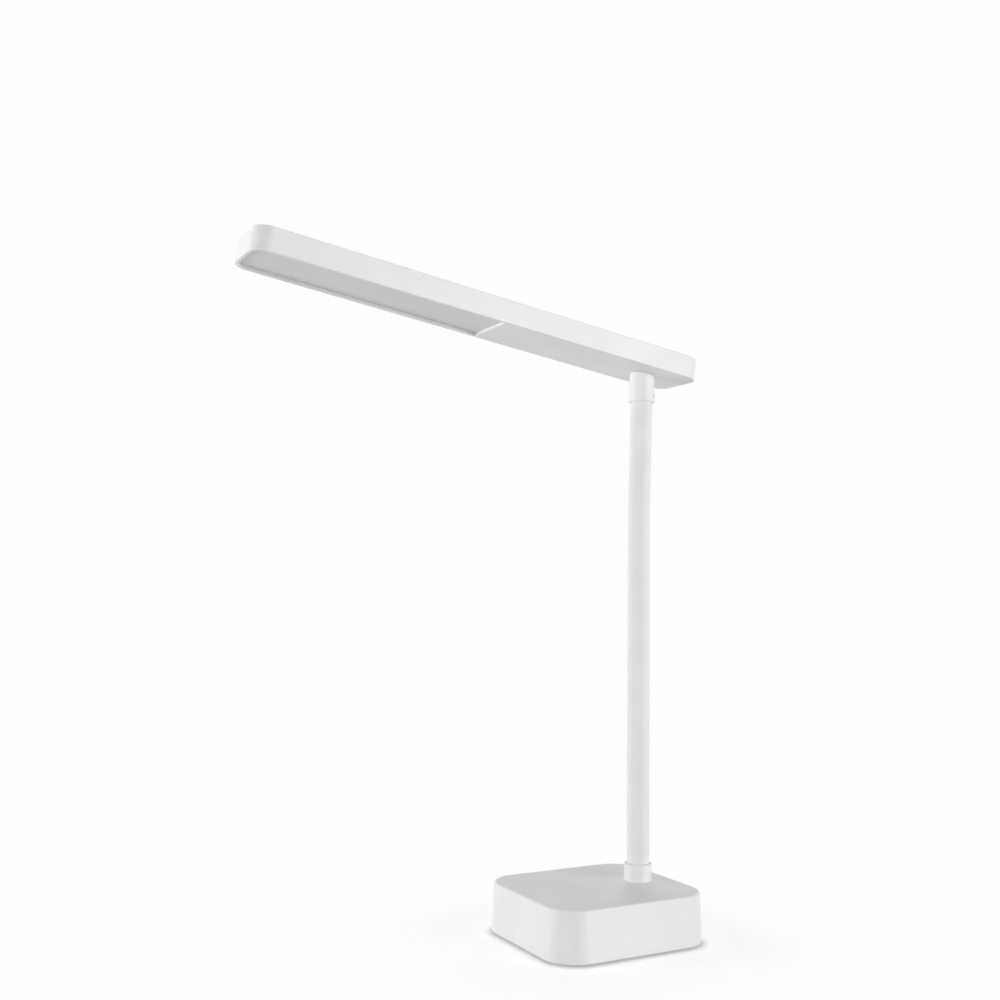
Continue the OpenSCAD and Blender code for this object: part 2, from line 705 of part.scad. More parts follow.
// Hook that springs over a catch on the housing's wall, side is 1 or -1
module snap_hook(side) {
    barb_z = catch_z + catch_h + fit;
    rotate([90, 0, 0]) linear_extrude(hook_w - 2 * fit, center = true)
        polygon([[-side * hook_t / 2, cover_t / 2], [side * hook_t / 2, cover_t / 2],
                 [side * hook_t / 2, barb_z], [side * (hook_t / 2 + catch_out), barb_z],
                 [side * hook_t / 2, hook_top], [-side * hook_t / 2, hook_top]]);
}

module diffuser() color("gainsboro") at_head() intersection() {
    translate([0, head_mid, window_depth])
        slab(in_w - 2 * fit, in_l - 2 * fit, in_r - fit, diffuser_t);
    translate([-head_w, -head_l, 0]) cube([2 * head_w, head_l - window_near - fit, head_t]);
}

// White tray with an opening for each light-emitting diode
module reflector() color("white") at_head() translate([0, window_mid, tray_z]) difference() {
    slab(in_w - 2 * (shelf_w + fit), window_l - 2 * (shelf_w + tray_end),
         in_r - shelf_w - fit, tray_t);
    led_grid() cube([led_size[0] + 2 * tray_hole, led_size[1] + 2 * tray_hole, head_t],
                    center = true);
}

module led_grid() for (i = [0 : led_count - 1], j = [0 : led_rows - 1])
    translate([(j - (led_rows - 1) / 2) * led_row_gap, (i - (led_count - 1) / 2) * led_pitch, 0])
        children();

module led_board() color("white") at_head() translate([0, window_mid, roof_t - led_board_t])
    slab(led_board_w, window_l - 2 * led_board_end, led_board_r, led_board_t);

module leds() color("khaki") at_head()
    translate([0, window_mid, roof_t - led_board_t - led_size[2] / 2])
        led_grid() cube(led_size, center = true);

// Lead from the swivel to the end of the diode board
module head_lead() color("dimgray") at_head() {
    lead_z = roof_t - roof_rib_h - fit - wire_d / 2;
    wire([[0, 0, lead_z], [0, -window_near - head_lead_over, lead_z]]);
}

base_shell();
base_plate();
foot_pad();
base_screws();
counterweight();
weight_screws();
battery_cell();
main_board();
board_parts();
board_screws();
usb_inlet();
touch_pad();
base_wires();
base_collar();
stem_fitting();
clamp_washer();
clamp_nut();
stem_tube();
stem_sleeve();
lamp_lead();
for (i = [1 : bends - 1]) {
    neck_link(i);
    neck_sleeve(i);
}
neck_sleeve_end();
neck_ferrule();
head_collar();
grub_screw();
stop_washer();
swivel_nut();
head_housing();
head_cover();
diffuser();
reflector();
led_board();
leds();
head_lead();
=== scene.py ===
import math

import bpy
import numpy as np
from mathutils import Matrix, Vector


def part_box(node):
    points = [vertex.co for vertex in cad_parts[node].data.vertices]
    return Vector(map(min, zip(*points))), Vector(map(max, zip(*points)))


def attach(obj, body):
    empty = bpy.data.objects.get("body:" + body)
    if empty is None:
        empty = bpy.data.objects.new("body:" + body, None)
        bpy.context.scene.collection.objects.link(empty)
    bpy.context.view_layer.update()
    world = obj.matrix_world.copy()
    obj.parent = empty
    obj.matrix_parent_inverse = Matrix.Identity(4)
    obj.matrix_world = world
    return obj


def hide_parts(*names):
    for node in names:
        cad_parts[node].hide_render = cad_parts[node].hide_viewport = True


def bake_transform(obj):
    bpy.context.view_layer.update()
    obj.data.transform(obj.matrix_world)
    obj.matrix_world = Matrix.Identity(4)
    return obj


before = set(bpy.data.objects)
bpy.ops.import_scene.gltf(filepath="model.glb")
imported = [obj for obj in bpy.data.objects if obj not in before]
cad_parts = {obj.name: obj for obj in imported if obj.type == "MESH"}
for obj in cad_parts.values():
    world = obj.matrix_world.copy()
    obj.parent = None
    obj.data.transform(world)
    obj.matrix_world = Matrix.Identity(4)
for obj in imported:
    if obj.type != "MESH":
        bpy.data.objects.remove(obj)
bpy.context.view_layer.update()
mm = 0.001

# ---- Base shell ----
# The open-bottomed housing that the lamp stands on: one piece of white ABS, injection moulded in
# a tool with a fine spark-eroded finish, with slightly flared sides, a rounded top edge, a hole
# for the stem and a sunk slot for the charging inlet in its back wall.


def linear(hex_colour):
    """An sRGB hex colour as linear red, green, blue and alpha: a channel c is c / 12.92 up to
    0.04045 and ((c + 0.055) / 1.055) to the power 2.4 above it."""
    c = np.array([int(hex_colour[k:k + 2], 16) for k in (1, 3, 5)]) / 255
    return (*np.where(c > 0.04045, ((c + 0.055) / 1.055) ** 2.4, c / 12.92).tolist(), 1.0)


def add_node(finish, kind, settings=(), **sockets):
    """Adds a shader node. Settings are its own attributes. A socket is named with _ for a space,
    or with _ and its number, and takes a value or another node's output."""
    made = finish.node_tree.nodes.new(kind)
    for name, value in dict(settings).items():
        setattr(made, name, value)
    for name, value in sockets.items():
        socket = made.inputs[int(name[1:]) if name[0] == "_" else name.replace("_", " ")]
        if isinstance(value, bpy.types.NodeSocket):
            finish.node_tree.links.new(value, socket)
        else:
            socket.default_value = value
    return made


def moulded(name, dark, light, patch, grain, depth, rough, place=None, **gloss):
    """A moulded, sprayed or cast finish. The colour drifts between two shades in soft patches,
    the roughness drifts with patches of its own, and a fine grain left by the tool stands up by
    depth. Patch, grain and depth are real sizes, and place is an attribute to follow."""
    finish = bpy.data.materials.new(name)
    finish.use_nodes = True
    finish.node_tree.nodes.clear()
    at = (add_node(finish, "ShaderNodeAttribute", {"attribute_name": place}).outputs["Vector"]
          if place else add_node(finish, "ShaderNodeTexCoord").outputs["Object"])
    drift = add_node(finish, "ShaderNodeTexNoise", Vector=at, Scale=1 / patch, Detail=3.0)
    shades = add_node(finish, "ShaderNodeValToRGB", _0=drift.outputs[0])
    low, high = shades.color_ramp.elements
    low.position, high.position = 0.35, 0.65
    low.color, high.color = linear(dark), linear(light)
    worn = add_node(finish, "ShaderNodeTexNoise", Vector=at, Scale=2.3 / patch, Detail=2.0)
    satin = add_node(finish, "ShaderNodeMapRange", _0=worn.outputs[0], _1=0.3, _2=0.7,
                     _3=rough - 0.04, _4=rough + 0.04)
    pits = add_node(finish, "ShaderNodeTexNoise", Vector=at, Scale=1 / grain, Detail=2.0)
    relief = add_node(finish, "ShaderNodeBump", Height=pits.outputs[0], Strength=1.0,
                      Distance=depth)
    body = add_node(finish, "ShaderNodeBsdfPrincipled", Base_Color=shades.outputs[0],
                    Roughness=satin.outputs[0], Normal=relief.outputs[0], **gloss)
    add_node(finish, "ShaderNodeOutputMaterial", Surface=body.outputs[0])
    return finish


def rounded(path, radii, steps=6, guard=0.06 * mm, weld=0.0001 * mm):
    """An open path with its inner corners rounded. Each corner p gives way to an arc of radius r
    that touches both sides at r / tan(half the angle between them), and one point more stands
    just off each end of the arc, so that the flats beside it stay flat in the light. Points
    nearer to each other than weld become one."""
    p, r = np.asarray(path, float), np.asarray(radii, float)[:, None]
    a, b = p[:-2] - p[1:-1], p[2:] - p[1:-1]
    a, b = (v / np.linalg.norm(v, axis=1, keepdims=True) for v in (a, b))
    half = np.arccos((a * b).sum(1, keepdims=True)) / 2
    start, end = p[1:-1] + a * r / np.tan(half), p[1:-1] + b * r / np.tan(half)
    centre = p[1:-1] + (a + b) / np.linalg.norm(a + b, axis=1, keepdims=True) * r / np.sin(half)
    t, turn = np.linspace(0, 1, steps + 1)[None, :, None], (np.pi - 2 * half)[:, None]
    arc = centre[:, None] + (np.sin((1 - t) * turn) * (start - centre)[:, None]
                             + np.sin(t * turn) * (end - centre)[:, None]) / np.sin(turn)
    bends = np.concatenate([(start + a * guard)[:, None], arc, (end + b * guard)[:, None]], 1)
    line = np.concatenate([p[:1], bends.reshape(-1, 2), p[-1:]])
    return line[np.r_[True, np.linalg.norm(np.diff(line, axis=0), axis=1) > weld]]


def plan(width, depth, radii, centre_y=0.0, back_stops=(), arc_steps=14, side_steps=12,
         guard=0.3 * mm):
    """Points round a rectangle with rounded corners, anticlockwise from its right side, as feet,
    directions and radii: a ring offset by s is foot + direction x (radius + s). On a corner the
    foot stays and the direction turns; on a side the direction stays and the foot slides. A side
    has a point just in from each end, and its back side may have stops of its own."""
    feet, ways, reach = [], [], []
    corners = np.array([[1, 1], [-1, 1], [-1, -1], [1, -1]])
    centre = corners * (np.array([[width, depth]]) / 2 - np.array(radii)[:, None])
    for k in range(4):
        turn = np.radians(90 * k + np.linspace(0, 90, arc_steps + 1))
        along = centre[(k + 1) % 4] - centre[k]
        length = np.abs(along).max()
        first_t = min(guard / length, 0.25)
        stops = ((centre[0, 0] - np.array(back_stops)) / length if k == 0 and len(back_stops)
                 else np.linspace(0, 1, side_steps + 1)[1:-1])
        t = np.r_[first_t, stops, 1 - first_t]
        side_way = [-math.sin(math.pi / 2 * k), math.cos(math.pi / 2 * k)]
        feet += [np.repeat(centre[k:k + 1], arc_steps + 1, 0), centre[k] + t[:, None] * along]
        ways += [np.stack([np.cos(turn), np.sin(turn)], 1), np.repeat([side_way], len(t), 0)]
        reach += [np.full(arc_steps + 1, radii[k]),
                  radii[k] + t * (radii[(k + 1) % 4] - radii[k])]
    return np.concatenate(feet) + [[0, centre_y]], np.concatenate(ways), np.concatenate(reach)


def carried(profile, outline):
    """A profile of (offset, height) carried round a plan outline, as rows x columns x 3: each
    point is foot + direction x (radius + offset), at its height."""
    feet, ways, reach = outline
    flat = feet[None] + ways[None] * (reach[None] + profile[:, :1])[..., None]
    return np.concatenate([flat, np.broadcast_to(profile[:, 1:, None], (*flat.shape[:2], 1))], 2)


def turned(profile, centre=(0, 0, 0), columns=96):
    """A profile of (radius, height) turned round an upright axis: each point is centre + radius x
    (cos a, sin a), at its height."""
    a = np.linspace(0, 2 * np.pi, columns, endpoint=False)
    flat = profile[:, None, :1] * np.stack([np.cos(a), np.sin(a)], 1)[None]
    height = np.broadcast_to(profile[:, 1:, None], (*flat.shape[:2], 1))
    return np.concatenate([flat, height], 2) + np.asarray(centre, float)


def drawn_in(ring, centre, radius, height):
    """A ring drawn in to a circle: each point moves along the straight line to the circle's
    centre until it is radius away from it."""
    ray = ring[:, :2] - centre
    flat = centre + ray / np.linalg.norm(ray, axis=1, keepdims=True) * radius
    return np.concatenate([flat, np.full((len(ring), 1), height)], 1)[None]


def grid_faces(rows, columns, looped=True):
    """Corner numbers of a grid's faces, rows x columns x 4. Columns close on themselves, and so
    do rows if looped."""
    i, j = np.arange(rows if looped else rows - 1)[:, None], np.arange(columns)[None]
    k, m = (i + 1) % rows, (j + 1) % columns
    return np.stack(np.broadcast_arrays(i * columns + j, i * columns + m, k * columns + m,
                                        k * columns + j), -1)


def shell_of(grid, looped=True, caps=False):
    """A grid's points and faces. With caps, one flat face closes its first row and its last."""
    rows, columns = grid.shape[:2]
    faces = grid_faces(rows, columns, looped and not caps).reshape(-1, 4).tolist()
    if caps:
        faces += [list(range(columns))[::-1], list(range((rows - 1) * columns, rows * columns))]
    return grid.reshape(-1, 3), faces


def surface(name, shells, material, body=None, instead_of=()):
    """Puts worked-out points and faces into one smooth mesh whose edges over 35 degrees are
    sharp, gives it a finish, and fixes it to its body in place of its CAD nodes. A piece that is
    to bend between two bodies is given none here."""
    points, faces = [], []
    for shell_points, shell_faces in shells:
        start = sum(map(len, points))
        points.append(np.asarray(shell_points))
        faces += [[start + n for n in face] for face in shell_faces]
    mesh = bpy.data.meshes.new(name)
    mesh.from_pydata(np.concatenate(points).tolist(), [], faces)
    mesh.materials.append(material)
    mesh.shade_smooth()
    mesh.set_sharp_from_angle(angle=math.radians(35))
    made = bpy.data.objects.new(name, mesh)
    bpy.context.scene.collection.objects.link(made)
    if instead_of:
        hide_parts(*instead_of)
    if body:
        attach(made, body)
    return made


# White ABS from a spark-eroded tool: an even satin with a soft highlight. Its grain of about
# 0.1 mm is drawn at 0.4 mm so that it shows.
white_abs = moulded("spark_eroded_white_abs", "#EAEAEA", "#EEEEEE", patch=28 * mm,
                    grain=0.4 * mm, depth=0.006 * mm, rough=0.42, IOR=1.53)

base_w, base_d, base_h, base_r = 80 * mm, 90 * mm, 26 * mm, 16 * mm
flare, edge, wall, roof, lift = 1 * mm, 1.2 * mm, 2.2 * mm, 2.6 * mm, 1 * mm
foot_round, lip_round = 0.35 * mm, 0.2 * mm
under_roof = base_h - roof
stem_y, stud_hole = 27 * mm, 5.1 * mm


def side_out(height):
    """How far the flared side stands out: flare at its foot, falling to 0 at the top edge."""
    return flare * (base_h - edge - height) / (base_h - edge - lift)


def with_rows(profile, heights, pick=0):
    """The profile with more points at these heights, on the first or last of its stretches that
    spans them all. Also gives the row of the first new point."""
    z = profile[:, 1]
    spans = np.flatnonzero((np.minimum(z[:-1], z[1:]) < heights.min())
                           & (np.maximum(z[:-1], z[1:]) > heights.max()))
    i = spans[pick]
    t = ((heights - z[i]) / (z[i + 1] - z[i]))[:, None]
    fresh = profile[i] + t * (profile[i + 1] - profile[i])
    return np.concatenate([profile[:i + 1], fresh, profile[i + 1:]]), i + 1


def window_loop(bottom, top, first, last, columns):
    """Point numbers round a window in a grid: along its bottom row, up, back and down."""
    step = 1 if top > bottom else -1
    across, up = np.arange(first, last), np.arange(bottom, top, step)
    return np.concatenate([bottom * columns + across, up * columns + last,
                           top * columns + across[::-1] + 1, (up[::-1] + step) * columns + first])


def opened(grid, outer_row, inner_row, window_rows, first, last):
    """The faces of a grid with a window left open in its outer wall and in its inner wall, and
    the point numbers round the two windows."""
    rows, columns = grid.shape[:2]
    kept = np.ones((rows, columns), bool)
    for row in (outer_row, inner_row):
        kept[row:row + window_rows, first:last] = False
    return (grid_faces(rows, columns)[kept].tolist(),
            window_loop(outer_row, outer_row + window_rows, first, last, columns),
            window_loop(inner_row + window_rows, inner_row, first, last, columns))


def tunnel(points, faces, outside, inside, rings):
    """Lines a hole through a grid's wall with rings of points between its two window loops."""
    fresh = len(points) + np.arange(len(rings) * len(outside)).reshape(len(rings), -1)
    ladder = np.concatenate([outside[None], fresh, inside[None]])
    lining = ladder.reshape(-1)[grid_faces(len(ladder), len(outside), looped=False)]
    return np.concatenate([points, *rings]), faces + lining.reshape(-1, 4).tolist()


slot_z, slot_floor = 9.43 * mm, 44.65 * mm
slot_half, slot_r, mouth_half, mouth_r = 2.8 * mm, 3.5 * mm, 2.84 * mm, 1.73 * mm
slot_round, mouth_round = 0.3 * mm, 0.2 * mm
# The side's grid is opened over a window, and the space between window and slot is filled anew
window_x, window_z = np.linspace(9, -9, 25) * mm, slot_z + np.linspace(-5.4, 5.4, 13) * mm
window_rows, window_columns = len(window_z) - 1, len(window_x) - 1
# Where the two profiles meet under the foot, and how far in they run over and under the roof
foot_in, roof_in, ceiling_in = -0.1 * mm, -4 * mm, -6 * mm
outer = rounded([(foot_in, lift), (side_out(lift), lift), (side_out(base_h), base_h),
                 (roof_in, base_h)], [foot_round, edge])
inner = rounded([(ceiling_in, under_roof), (side_out(under_roof) - wall, under_roof),
                 (side_out(lift) - wall, lift), (foot_in, lift)], [edge, lip_round])[:-1]
outer, outer_row = with_rows(outer, window_z)
inner, inner_row = with_rows(inner, window_z[::-1])
shell_plan = plan(base_w, base_d, [base_r] * 4, back_stops=window_x)
skin = carried(outer, shell_plan)
guard = 0.1 * mm
hole = [drawn_in(skin[-1], [0, stem_y], r, z)
        for r, z in ((stud_hole + guard, base_h), (stud_hole, base_h),
                     (stud_hole, under_roof), (stud_hole + guard, under_roof))]
skin = np.concatenate([skin, *hole, carried(inner, shell_plan)])
inner_row += len(skin) - len(inner)
on_back = np.abs(skin[outer_row, :, 0] - window_x[0]) + (skin[outer_row, :, 1] < 0)
first = int(np.argmin(on_back))
faces, outside, inside = opened(skin, outer_row, inner_row, window_rows, first,
                                first + window_columns)
rim = skin.reshape(-1, 3)[outside]


def slot_ring(half, radius, in_from=0.0, y=None):
    """A ring round the sunk slot: each point of the window's rim goes to the nearest point of a
    straight line of that half length, then out by radius on the same bearing. It lies in_from
    behind the flared back, or at y."""
    foot = np.clip(rim[:, 0], -half, half)
    way = np.stack([rim[:, 0] - foot, rim[:, 2] - slot_z], 1)
    way *= radius / np.linalg.norm(way, axis=1, keepdims=True)
    z = slot_z + way[:, 1]
    depth = base_d / 2 + side_out(z) - in_from if y is None else np.full_like(z, y)
    return np.stack([foot + way[:, 0], depth, z], 1)


# The slot's edge and the mouth's are quarter rounds, with a ring just outside each. A quarter round
# goes out by 1 - sin a and in by 1 - cos a of its radius.
quarter = [(1 - math.sin(a), 1 - math.cos(a)) for a in np.radians(np.linspace(0, 90, 5))]
rings = [slot_ring(slot_half, slot_r + slot_round + 0.2 * mm)]
rings += [slot_ring(slot_half, slot_r + slot_round * out, slot_round * deep)
          for out, deep in quarter]
rings += [slot_ring(slot_half, slot_r, y=slot_floor),
          slot_ring(slot_half, slot_r - 0.05 * mm, y=slot_floor),
          slot_ring(mouth_half, mouth_r + mouth_round + 0.05 * mm, y=slot_floor)]
rings += [slot_ring(mouth_half, mouth_r + mouth_round * out, y=slot_floor - mouth_round * deep)
          for out, deep in quarter]
rings += [slot_ring(mouth_half, mouth_r, wall)]
skin = tunnel(skin.reshape(-1, 3), faces, outside, inside, rings)

# Inside, four bosses take the screws and a thicker ring stands round the stud's hole
boss_r, boss_bore, boss_x, boss_y, boss_z = 3.5 * mm, 1.35 * mm, 29 * mm, 34 * mm, 6.6 * mm
tube = np.array([(boss_r, boss_z), (boss_r, under_roof), (boss_bore, under_roof),
                 (boss_bore, boss_z)])
bosses = [shell_of(turned(tube, (x, y, 0), columns=40))
          for x in (-boss_x, boss_x) for y in (-boss_y, boss_y)]
seat_r, seat_low = 11.5 * mm, 22 * mm
seat = np.array([(seat_r, seat_low), (seat_r, under_roof), (stud_hole, under_roof),
                 (stud_hole, seat_low)])
surface("base_shell_skin", [skin, *bosses, shell_of(turned(seat, (0, stem_y, 0)))],
        white_abs, "base", ["base_shell"])

# ---- Rubber pad ----
# A die-cut pad of dark grey rubber bonded into the bottom plate. It lifts the shell clear of the
# desk by a narrow shadow gap and keeps it from sliding.

# Moulded nitrile rubber: dark, dry and matt, with a leathery grain of 0.5 mm
grey_rubber = moulded("moulded_grey_rubber", "#4A4A4C", "#555558", patch=9 * mm,
                      grain=0.5 * mm, depth=0.03 * mm, rough=0.78, IOR=1.52)
pad_low, pad_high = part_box("foot_pad")
pad_w, pad_d, pad_t = pad_high - pad_low
pad_r, pad_in, pad_low_round, pad_top_round = 11.59 * mm, -2 * mm, 0.4 * mm, 0.2 * mm
pad = carried(rounded([(pad_in, 0), (0, 0), (0, pad_t), (pad_in, pad_t)],
                      [pad_low_round, pad_top_round]), plan(pad_w, pad_d, [pad_r] * 4))
surface("rubber_pad", [shell_of(pad, caps=True)], grey_rubber, "base",
        ["foot_pad"])

# ---- Bottom plate and screws ----
# A moulded plate of the same white ABS closes the shell from below. Zinc-plated screws hold it,
# and smaller ones hold the weight and the board.


def drawn(name, dark, light, line, along, depth, rough):
    """A turned, rolled or drawn metal: streaks one line apart, stretched along the axis whose
    share in along is small, carry the colour, the roughness and a shallow relief."""
    finish = bpy.data.materials.new(name)
    finish.use_nodes = True
    finish.node_tree.nodes.clear()
    at = add_node(finish, "ShaderNodeTexCoord").outputs["Object"]
    drag = add_node(finish, "ShaderNodeMapping", Vector=at, Scale=along)
    lines = add_node(finish, "ShaderNodeTexNoise", Vector=drag.outputs[0], Scale=1 / line,
                     Detail=3.0)
    shades = add_node(finish, "ShaderNodeValToRGB", _0=lines.outputs[0])
    low, high = shades.color_ramp.elements
    low.position, high.position = 0.3, 0.7
    low.color, high.color = linear(dark), linear(light)
    satin = add_node(finish, "ShaderNodeMapRange", _0=lines.outputs[0], _1=0.3, _2=0.7,
                     _3=rough - 0.06, _4=rough + 0.06)
    relief = add_node(finish, "ShaderNodeBump", Height=lines.outputs[0], Strength=1.0,
                      Distance=depth)
    body = add_node(finish, "ShaderNodeBsdfPrincipled", Base_Color=shades.outputs[0],
                    Roughness=satin.outputs[0], Normal=relief.outputs[0], Metallic=1.0)
    add_node(finish, "ShaderNodeOutputMaterial", Surface=body.outputs[0])
    return finish


def dress(material, *nodes):
    """Gives CAD nodes a finish on every material slot that they have."""
    for name in nodes:
        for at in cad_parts[name].material_slots:
            at.material = material


# Zinc plate on turned steel: cool grey, softly bright, with turning lines about 0.2 mm apart
zinc_steel = drawn("zinc_plated_steel", "#8E9092", "#B9BBBD", line=0.2 * mm, along=(1, 1, 0.1),
                   depth=0.004 * mm, rough=0.34)
dress(white_abs, "base_plate")
dress(zinc_steel, "base_screws", "weight_screws", "board_screws")

# ---- Charging inlet ----
# A reversible power inlet sunk in the back wall: a seamed shell of deep-drawn steel round a black
# tongue, soldered to the board behind it.

# Deep-drawn steel: brighter than the screws, with draw lines that run in along the shell
inlet_steel = drawn("deep_drawn_steel", "#9FA1A3", "#C6C8CA", line=0.15 * mm,
                    along=(1, 0.08, 1), depth=0.003 * mm, rough=0.26)
dress(inlet_steel, "usb_inlet")

# ---- Weight, cell and electronics ----
# Inside the base a block of cast iron lies in front of a round lithium cell in shrink wrap, and a
# small board stands behind them. A touch pad is stuck under the roof, and wires join them.

# Sand-cast iron, blackened: dull, with pits of half a millimetre
cast_iron = moulded("sand_cast_iron", "#303133", "#47484A", patch=6 * mm, grain=0.5 * mm,
                    depth=0.08 * mm, rough=0.62, Metallic=0.7)
# Heat-shrunk PVC: a thin glossy skin that ripples every 3 mm
shrink_wrap = moulded("shrunk_pvc_wrap", "#2F7F78", "#378C84", patch=20 * mm, grain=3 * mm,
                      depth=0.02 * mm, rough=0.22, IOR=1.54)
# Solder mask on woven glass: glossy green over a faint 0.6 mm weave
solder_mask = moulded("green_solder_mask", "#0F4A29", "#155A33", patch=5 * mm,
                      grain=0.6 * mm, depth=0.01 * mm, rough=0.25, IOR=1.5)
# Moulded epoxy: near black, dry and even
black_epoxy = moulded("moulded_black_epoxy", "#161617", "#1F1F21", patch=4 * mm,
                      grain=0.2 * mm, depth=0.01 * mm, rough=0.5, IOR=1.55)
# Rolled copper foil: warm and bright, with rolling lines 0.3 mm apart across the pad
copper_foil = drawn("rolled_copper_foil", "#B4714C", "#CE8A62", line=0.3 * mm,
                    along=(0.05, 1, 1), depth=0.002 * mm, rough=0.3)
# Extruded PVC insulation: red and glossy
red_pvc = moulded("extruded_red_pvc", "#8E2219", "#A02A20", patch=3 * mm, grain=0.5 * mm,
                  depth=0.004 * mm, rough=0.3, IOR=1.53)
dress(cast_iron, "counterweight")
dress(shrink_wrap, "battery_cell")
dress(solder_mask, "main_board")
dress(black_epoxy, "board_parts")
dress(copper_foil, "touch_pad")
dress(red_pvc, "base_wires")

# ---- Collar at the foot of the stem ----
# A short moulded ring of the white ABS round the foot of the stem, pressed over its fitting, with
# a small round on its top edge and a hair of clearance round the sleeve.
neck_r, clear = 6 * mm, 0.1 * mm
foot_r, foot_h, foot_floor = 7.3 * mm, 9 * mm, 2.5 * mm
# The profile starts and ends at one point of its flat underside, and has a round for each corner
under_foot = (foot_r - 0.5 * mm, 0)
profile = rounded([under_foot, (foot_r, 0), (foot_r, foot_h), (neck_r + clear, foot_h),
                   (neck_r + clear, foot_floor), (stud_hole, foot_floor), (stud_hole, 0),
                   under_foot], np.array([0.1, 0.35, 0.2, 0.1, 0.1, 0.1]) * mm)[:-1]
surface("foot_collar", [shell_of(turned(profile, (0, stem_y, base_h)))], white_abs,
        "base", ["base_collar"])

# ---- Stem fitting and clamp ----
# A brass fitting turned on a lathe. The stem's tube is soldered into its top, and its threaded
# stud goes down through the roof to a plated washer and nut.

# Turned brass: yellow and bright, with tool marks a quarter of a millimetre apart round it
brass = drawn("turned_brass", "#A5843F", "#C9A75C", line=0.25 * mm, along=(0.1, 0.1, 1),
              depth=0.006 * mm, rough=0.28)
dress(brass, "stem_fitting")
dress(zinc_steel, "clamp_washer", "clamp_nut")

# ---- Straight stem ----
# A steel tube under a sleeve of white silicone, one smooth hose that runs on over the gooseneck.
# The lamp's lead goes up inside it.

# Extruded silicone: a shade greyer than the ABS, soft and nearly matt, with a faint broad sheen
silicone = moulded("extruded_white_silicone", "#EBEBEB", "#EEEEEE", patch=14 * mm,
                   grain=0.6 * mm, depth=0.008 * mm, rough=0.62, place="as_made", IOR=1.41,
                   Specular_IOR_Level=0.1)
# Extruded PVC jacket: mid grey, satin
grey_pvc = moulded("extruded_grey_pvc", "#57575A", "#626266", patch=6 * mm, grain=0.5 * mm,
                   depth=0.004 * mm, rough=0.45, IOR=1.53)
link, straight_top, socket_floor = 5.4 * mm, 218.4 * mm, 3 * mm
# The hose grips the tube on the straight stem. From two links below its top it is thinner, and
# clears the bends inside it.
sleeve_in, flex_in, hose_rows = 4.7 * mm, 5.6 * mm, 24
sleeve_foot = base_h + foot_floor + socket_floor


def remember(made):
    """Keeps each point's place before any bending, so that a finish stays on the surface."""
    place = np.empty(len(made.data.vertices) * 3, np.float32)
    made.data.vertices.foreach_get("co", place)
    made.data.attributes.new("as_made", "FLOAT_VECTOR", "POINT").data.foreach_set("vector", place)
    return made


heights = np.linspace(sleeve_foot, straight_top, hose_rows)
hose_in = np.where(heights > straight_top - 2 * link, flex_in, sleeve_in)
profile = np.concatenate([np.stack([np.full(hose_rows, neck_r), heights], 1),
                          np.stack([hose_in, heights], 1)[::-1]])
remember(surface("stem_hose", [shell_of(turned(profile, (0, stem_y, 0)))], silicone,
                 "base", ["stem_sleeve"]))
dress(zinc_steel, "stem_tube")
dress(grey_pvc, "lamp_lead", "head_lead")

# ---- Gooseneck ----
# Twelve short bends of wound steel hose inside the sleeve. The sleeve over each bend is one
# link long, and flexes between the link below it and the link above.
bend_count, neck_lean = 12, -1.5
tilt = np.radians(np.r_[0, np.full(bend_count, neck_lean)])
upward = np.stack([np.zeros(bend_count + 1), -np.sin(tilt), np.cos(tilt)], 1)
bend = np.array([0, stem_y, straight_top + link / 2]) + link * np.concatenate(
    [np.zeros((2, 3)), np.cumsum(upward[1:-1], 0)])


def hose_over(below, middle, above, tuck, rings=13, columns=96):
    """A stretch of hose wall whose centre line is the parabola with three control points, run on
    straight by tuck. Every ring stands square to the line: a point is centre + radius x (cos a
    across + sin a behind), where behind is the line's direction turned a quarter about X."""
    t = np.linspace(0, 1, rings)[:, None]
    line = (1 - t) ** 2 * below + 2 * t * (1 - t) * middle + t ** 2 * above
    way = (1 - t) * (middle - below) + t * (above - middle)
    way /= np.linalg.norm(way, axis=1, keepdims=True)
    line, way = np.concatenate([line, line[-1:] + tuck * way[-1:]]), np.concatenate([way, way[-1:]])
    behind = np.stack([0 * way[:, 0], way[:, 2], -way[:, 1]], 1)[:, None]
    a = np.linspace(0, 2 * np.pi, columns, endpoint=False)[None, :, None]
    spoke = np.cos(a) * np.array([1.0, 0, 0]) + np.sin(a) * behind
    return np.concatenate([line[:, None] + neck_r * spoke,
                           (line[:, None] + flex_in * spoke)[::-1]])


# Each stretch runs a hair into the next, and the last one into the head's collar
overlap, into_collar = 0.01 * mm, 1.1 * mm
for i in range(1, bend_count + 1):
    below, above = bend[i] - link / 2 * upward[i - 1], bend[i] + link / 2 * upward[i]
    tuck = into_collar if i == bend_count else overlap
    hose = surface(f"neck_hose_{i:02d}", [shell_of(hose_over(below, bend[i], above, tuck))],
                   silicone, None, [f"neck_sleeve_{i:02d}"])
    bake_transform(remember(hose))

# Wound steel strip: bare grey steel, with the strip's lines round it a quarter millimetre apart
wound_steel = drawn("wound_steel_strip", "#85878A", "#AEB0B3", line=0.25 * mm,
                    along=(0.12, 0.12, 1), depth=0.006 * mm, rough=0.36)
dress(wound_steel, *(f"neck_link_{i:02d}" for i in range(1, bend_count)))
dress(zinc_steel, "neck_ferrule", "stop_washer", "swivel_nut")

# ---- Head collar ----
# The white ABS collar that takes the gooseneck's end. The stub that the head swivels on is set
# at an angle on it, so that the head tips up. A black grub screw in its side grips the ferrule.
mouth = bend[bend_count] + link / 2 * upward[bend_count]
collar_l, collar_low_r, collar_top_r = 15.6 * mm, 7.1 * mm, 6.75 * mm
seat_h, stub_r, lead_hole, stub_top = 1.2 * mm, 5 * mm, 2.5 * mm, 23.4 * mm
ferrule_r, ferrule_top = 5.25 * mm, 10.3 * mm
